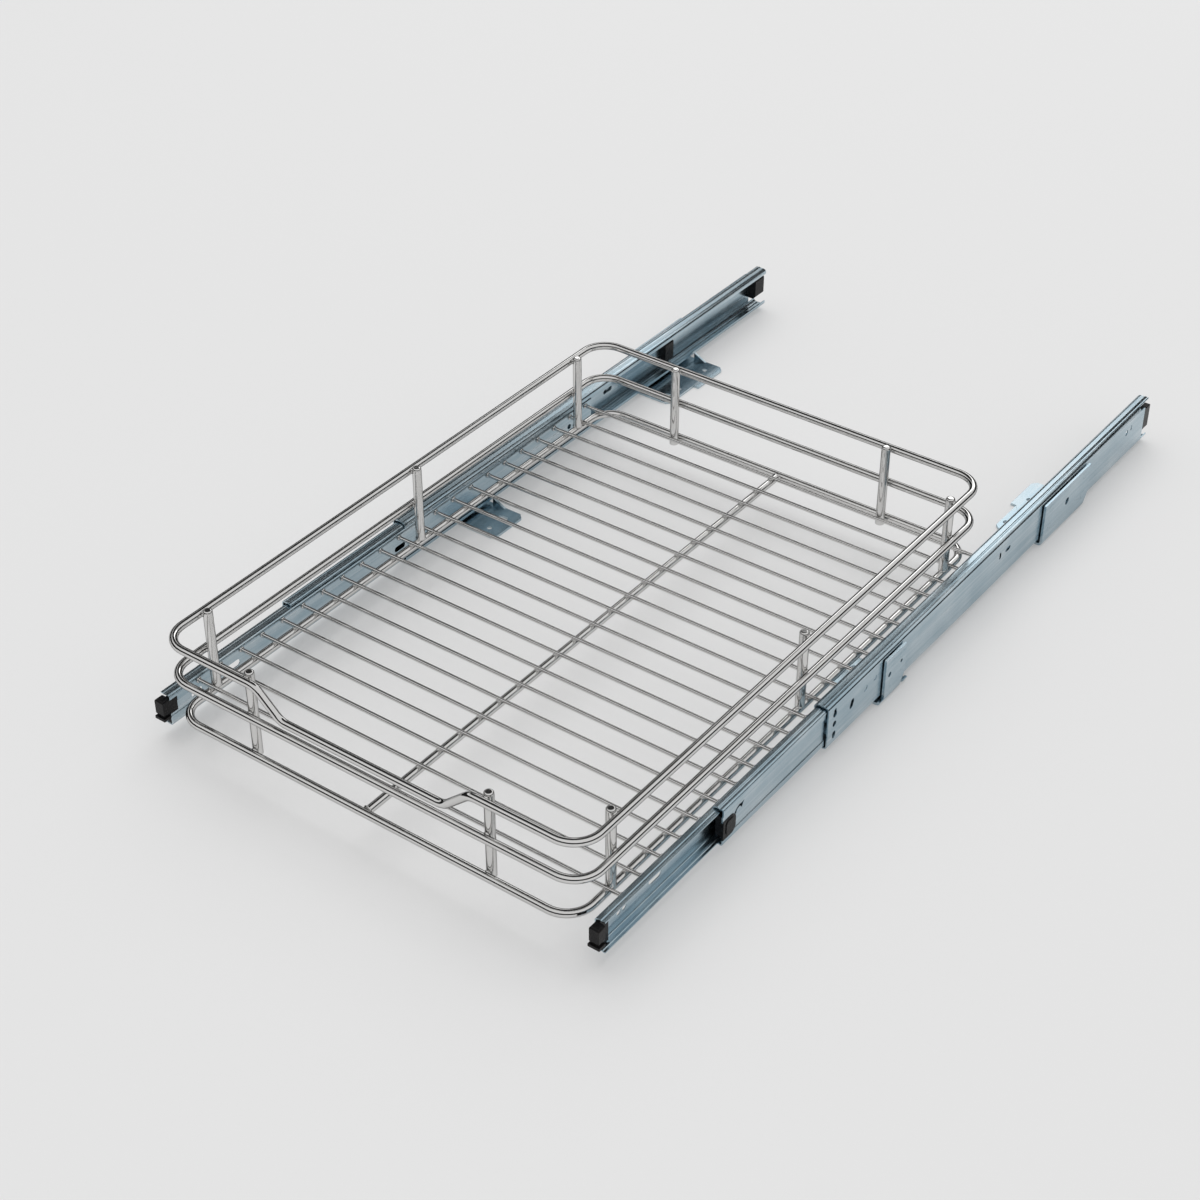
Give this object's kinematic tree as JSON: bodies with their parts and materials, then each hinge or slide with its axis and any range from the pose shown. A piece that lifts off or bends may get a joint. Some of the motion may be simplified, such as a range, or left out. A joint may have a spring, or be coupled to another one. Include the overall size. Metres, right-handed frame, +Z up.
{
  "type": "pull out cabinet basket",
  "caption": "Chromed wire basket with a dipped front rail, carried on telescopic ball-bearing slides whose bracket feet screw to a cabinet floor, shown half drawn out.",
  "frame": {"origin": "the middle of the four main screw holes, on the plane that the bracket feet stand on", "axes": "+Z up, +Y into the cabinet along the slides, +X to the right of a person who faces the cabinet"},
  "size_m": [0.393, 0.7585, 0.094],
  "materials": {
    "chrome_wire": "bright chrome plate on round steel wire",
    "zinc_steel": "blue-grey zinc plate on folded sheet, faint streaks along the slide",
    "ball_steel": "polished hardened steel",
    "black_plastic": "moulded black nylon, satin"
  },
  "bodies": {
    "cabinet_side": {"left_cabinet_member": "zinc_steel", "right_cabinet_member": "zinc_steel", "left_front_bracket": "zinc_steel", "right_front_bracket": "zinc_steel", "left_rear_bracket": "zinc_steel", "right_rear_bracket": "zinc_steel", "left_bracket_rivets": "zinc_steel", "right_bracket_rivets": "zinc_steel", "left_rear_bumper": "black_plastic", "right_rear_bumper": "black_plastic"},
    "basket": {"bottom_rail": "chrome_wire", "middle_rail": "chrome_wire", "top_rail": "chrome_wire", "floor_wires": "chrome_wire", "centre_bar": "chrome_wire", "side_posts": "chrome_wire", "front_posts": "chrome_wire", "rear_posts": "chrome_wire", "left_drawer_member": "zinc_steel", "right_drawer_member": "zinc_steel", "left_front_cap": "black_plastic", "right_front_cap": "black_plastic"},
    "left_intermediate": {"left_intermediate_member": "zinc_steel", "left_front_stop": "black_plastic", "left_rear_buffer": "black_plastic"},
    "left_outer_cage_set": {"left_outer_cage": "zinc_steel", "left_outer_balls": "ball_steel"},
    "left_inner_cage_set": {"left_inner_cage": "zinc_steel", "left_inner_balls": "ball_steel"},
    "right_intermediate": {"right_intermediate_member": "zinc_steel", "right_front_stop": "black_plastic", "right_rear_buffer": "black_plastic"},
    "right_outer_cage_set": {"right_outer_cage": "zinc_steel", "right_outer_balls": "ball_steel"},
    "right_inner_cage_set": {"right_inner_cage": "zinc_steel", "right_inner_balls": "ball_steel"}
  },
  "joints": [
    {"name": "basket_slide", "type": "slide", "parent": "cabinet_side", "child": "basket", "axis": [0, -1, 0], "range_m": [-0.25, 0.25]},
    {"name": "left_intermediate_slide", "type": "slide", "parent": "cabinet_side", "child": "left_intermediate", "axis": [0, -1, 0], "range_m": [-0.125, 0.125]},
    {"name": "left_outer_cage_slide", "type": "slide", "parent": "cabinet_side", "child": "left_outer_cage_set", "axis": [0, -1, 0], "range_m": [-0.0625, 0.0625]},
    {"name": "left_inner_cage_slide", "type": "slide", "parent": "cabinet_side", "child": "left_inner_cage_set", "axis": [0, -1, 0], "range_m": [-0.1875, 0.1875]},
    {"name": "right_intermediate_slide", "type": "slide", "parent": "cabinet_side", "child": "right_intermediate", "axis": [0, -1, 0], "range_m": [-0.125, 0.125]},
    {"name": "right_outer_cage_slide", "type": "slide", "parent": "cabinet_side", "child": "right_outer_cage_set", "axis": [0, -1, 0], "range_m": [-0.0625, 0.0625]},
    {"name": "right_inner_cage_slide", "type": "slide", "parent": "cabinet_side", "child": "right_inner_cage_set", "axis": [0, -1, 0], "range_m": [-0.1875, 0.1875]}
  ],
  "couplings": [
    {"joint": "left_intermediate_slide", "follows": "basket_slide", "ratio": 0.5},
    {"joint": "left_outer_cage_slide", "follows": "basket_slide", "ratio": 0.25},
    {"joint": "left_inner_cage_slide", "follows": "basket_slide", "ratio": 0.75},
    {"joint": "right_intermediate_slide", "follows": "basket_slide", "ratio": 0.5},
    {"joint": "right_outer_cage_slide", "follows": "basket_slide", "ratio": 0.25},
    {"joint": "right_inner_cage_slide", "follows": "basket_slide", "ratio": 0.75}
  ]
}
